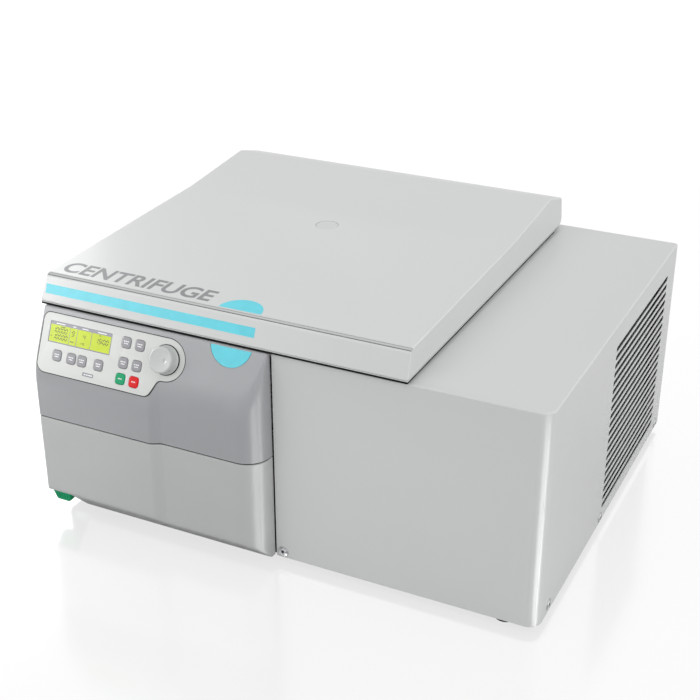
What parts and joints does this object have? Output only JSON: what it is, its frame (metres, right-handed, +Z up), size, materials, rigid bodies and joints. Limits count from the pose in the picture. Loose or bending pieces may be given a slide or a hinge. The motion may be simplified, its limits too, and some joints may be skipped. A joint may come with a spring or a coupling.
{
  "type": "laboratory centrifuge",
  "caption": "Refrigerated bench-top laboratory centrifuge with a hinged lid, swing-out rotor, tilted control panel and louvred cooling unit.",
  "frame": {"origin": "centre of the overall footprint, on the surface that the feet stand on", "axes": "+Z up, +X along the width towards the cooling unit, the control panel faces -Y"},
  "size_m": [0.7346, 0.647, 0.3844],
  "materials": {
    "housing_paint": "light grey semi-gloss powder coat",
    "lid_paint": "light grey semi-gloss powder coat, slightly paler than the housing",
    "cover_light": "light grey moulded plastic, fine texture",
    "cover_dark": "mid grey moulded plastic, fine texture",
    "keypad_film": "near white polyester film, satin",
    "key_grey": "grey embossed keys, satin",
    "green_plastic": "green plastic, satin",
    "red_plastic": "red plastic, satin",
    "display": "yellow-green backlit liquid crystal display under clear film",
    "knob": "light grey moulded plastic, satin",
    "rubber": "black rubber, matt",
    "stainless": "brushed stainless steel",
    "dark_steel": "dark coated steel",
    "cast_aluminium": "machined aluminium",
    "black_plastic": "black moulded plastic",
    "circuit_board": "green solder mask"
  },
  "bodies": {
    "base": {"housing_shell": "housing_paint", "rear_panel": "housing_paint", "front_cover_lower": "cover_light", "chamber_deck": "cover_light", "front_cover_upper": "cover_dark", "keypad_panel": "keypad_film", "display_window": "display", "foot_front_left": "rubber", "foot_rear_left": "rubber", "foot_front_right": "rubber", "foot_rear_right": "rubber", "chamber_seal": "rubber", "motor_damper_1": "rubber", "motor_damper_2": "rubber", "motor_damper_3": "rubber", "chamber_bowl": "stainless", "screw_front": "stainless", "screw_right_front": "stainless", "screw_right_middle": "stainless", "screw_right_rear": "stainless", "hinge_rod": "stainless", "base_pan": "dark_steel", "motor_plate": "dark_steel", "drive_motor": "dark_steel", "hinge_bracket_left": "dark_steel", "hinge_bracket_right": "dark_steel", "compressor": "dark_steel", "condenser": "cast_aluminium", "lid_lock": "black_plastic", "fan_shroud": "black_plastic", "power_inlet": "black_plastic", "control_board": "circuit_board"},
    "lid": {"lid_shell": "lid_paint", "lid_liner": "black_plastic", "lid_port_cap": "cover_light", "lid_striker": "stainless", "hinge_arm_left": "dark_steel", "hinge_arm_right": "dark_steel"},
    "rotor": {"drive_shaft": "stainless", "rotor_cross": "cast_aluminium", "rotor_nut": "stainless"},
    "lock_hook": {"lock_hook": "stainless"},
    "knob": {"control_knob": "knob"},
    "release_pull": {"release_pull": "green_plastic"},
    "fan": {"condenser_fan": "black_plastic"},
    "mains_switch": {"mains_switch": "red_plastic"},
    "bucket_1": {"bucket_1": "cast_aluminium"},
    "bucket_2": {"bucket_2": "cast_aluminium"},
    "bucket_3": {"bucket_3": "cast_aluminium"},
    "bucket_4": {"bucket_4": "cast_aluminium"},
    "key_temperature": {"key_temperature": "key_grey"},
    "key_brake": {"key_brake": "key_grey"},
    "key_speed": {"key_speed": "key_grey"},
    "key_time": {"key_time": "key_grey"},
    "key_program": {"key_program": "key_grey"},
    "key_radius": {"key_radius": "key_grey"},
    "key_store": {"key_store": "key_grey"},
    "key_pulse": {"key_pulse": "key_grey"},
    "key_start": {"key_start": "green_plastic"},
    "key_stop": {"key_stop": "red_plastic"}
  },
  "joints": [
    {"name": "lid_hinge", "type": "hinge", "parent": "base", "child": "lid", "pos_m": [-0.0917, 0.2935, 0.346], "axis": [-1, 0, 0], "range_deg": [0, 75]},
    {"name": "lock_hook_pivot", "type": "hinge", "parent": "base", "child": "lock_hook", "pos_m": [-0.0917, -0.2325, 0.288], "axis": [-1, 0, 0], "range_deg": [0, 35], "stiffness_Nm_per_rad": 0.05, "springref_deg": -11.46},
    {"name": "rotor_spin", "type": "hinge", "parent": "base", "child": "rotor", "pos_m": [-0.0917, 0.0435, 0.212], "axis": [0, 0, 1], "continuous": true},
    {"name": "bucket_1_swing", "type": "hinge", "parent": "rotor", "child": "bucket_1", "pos_m": [0.0033, 0.0435, 0.212], "axis": [0, -1, 0], "range_deg": [0, 90]},
    {"name": "bucket_2_swing", "type": "hinge", "parent": "rotor", "child": "bucket_2", "pos_m": [-0.0917, 0.1385, 0.212], "axis": [1, 0, 0], "range_deg": [0, 90]},
    {"name": "bucket_3_swing", "type": "hinge", "parent": "rotor", "child": "bucket_3", "pos_m": [-0.1867, 0.0435, 0.212], "axis": [0, 1, 0], "range_deg": [0, 90]},
    {"name": "bucket_4_swing", "type": "hinge", "parent": "rotor", "child": "bucket_4", "pos_m": [-0.0917, -0.0515, 0.212], "axis": [-1, 0, 0], "range_deg": [0, 90]},
    {"name": "key_temperature_press", "type": "slide", "parent": "base", "child": "key_temperature", "axis": [0, 0.9107, -0.4131], "range_m": [0, 0.0008], "stiffness_N_per_m": 400, "springref_m": -0.0005},
    {"name": "key_brake_press", "type": "slide", "parent": "base", "child": "key_brake", "axis": [0, 0.9107, -0.4131], "range_m": [0, 0.0008], "stiffness_N_per_m": 400, "springref_m": -0.0005},
    {"name": "key_speed_press", "type": "slide", "parent": "base", "child": "key_speed", "axis": [0, 0.9107, -0.4131], "range_m": [0, 0.0008], "stiffness_N_per_m": 400, "springref_m": -0.0005},
    {"name": "key_time_press", "type": "slide", "parent": "base", "child": "key_time", "axis": [0, 0.9107, -0.4131], "range_m": [0, 0.0008], "stiffness_N_per_m": 400, "springref_m": -0.0005},
    {"name": "key_program_press", "type": "slide", "parent": "base", "child": "key_program", "axis": [0, 0.9107, -0.4131], "range_m": [0, 0.0008], "stiffness_N_per_m": 400, "springref_m": -0.0005},
    {"name": "key_radius_press", "type": "slide", "parent": "base", "child": "key_radius", "axis": [0, 0.9107, -0.4131], "range_m": [0, 0.0008], "stiffness_N_per_m": 400, "springref_m": -0.0005},
    {"name": "key_store_press", "type": "slide", "parent": "base", "child": "key_store", "axis": [0, 0.9107, -0.4131], "range_m": [0, 0.0008], "stiffness_N_per_m": 400, "springref_m": -0.0005},
    {"name": "key_pulse_press", "type": "slide", "parent": "base", "child": "key_pulse", "axis": [0, 0.9107, -0.4131], "range_m": [0, 0.0008], "stiffness_N_per_m": 400, "springref_m": -0.0005},
    {"name": "key_start_press", "type": "slide", "parent": "base", "child": "key_start", "axis": [0, 0.9107, -0.4131], "range_m": [0, 0.0008], "stiffness_N_per_m": 400, "springref_m": -0.0005},
    {"name": "key_stop_press", "type": "slide", "parent": "base", "child": "key_stop", "axis": [0, 0.9107, -0.4131], "range_m": [0, 0.0008], "stiffness_N_per_m": 400, "springref_m": -0.0005},
    {"name": "control_knob_turn", "type": "hinge", "parent": "base", "child": "knob", "pos_m": [-0.1554, -0.30683, 0.29212], "axis": [0, -0.9107, 0.4131], "continuous": true},
    {"name": "release_pull_slide", "type": "slide", "parent": "base", "child": "release_pull", "axis": [0, 0, -1], "range_m": [0, 0.015], "stiffness_N_per_m": 60, "springref_m": -0.006},
    {"name": "condenser_fan_spin", "type": "hinge", "parent": "base", "child": "fan", "pos_m": [0.2903, 0.1365, 0.158], "axis": [1, 0, 0], "continuous": true},
    {"name": "mains_switch_rock", "type": "hinge", "parent": "base", "child": "mains_switch", "pos_m": [0.2743, 0.315, 0.072], "axis": [1, 0, 0], "range_deg": [0, 12]}
  ]
}
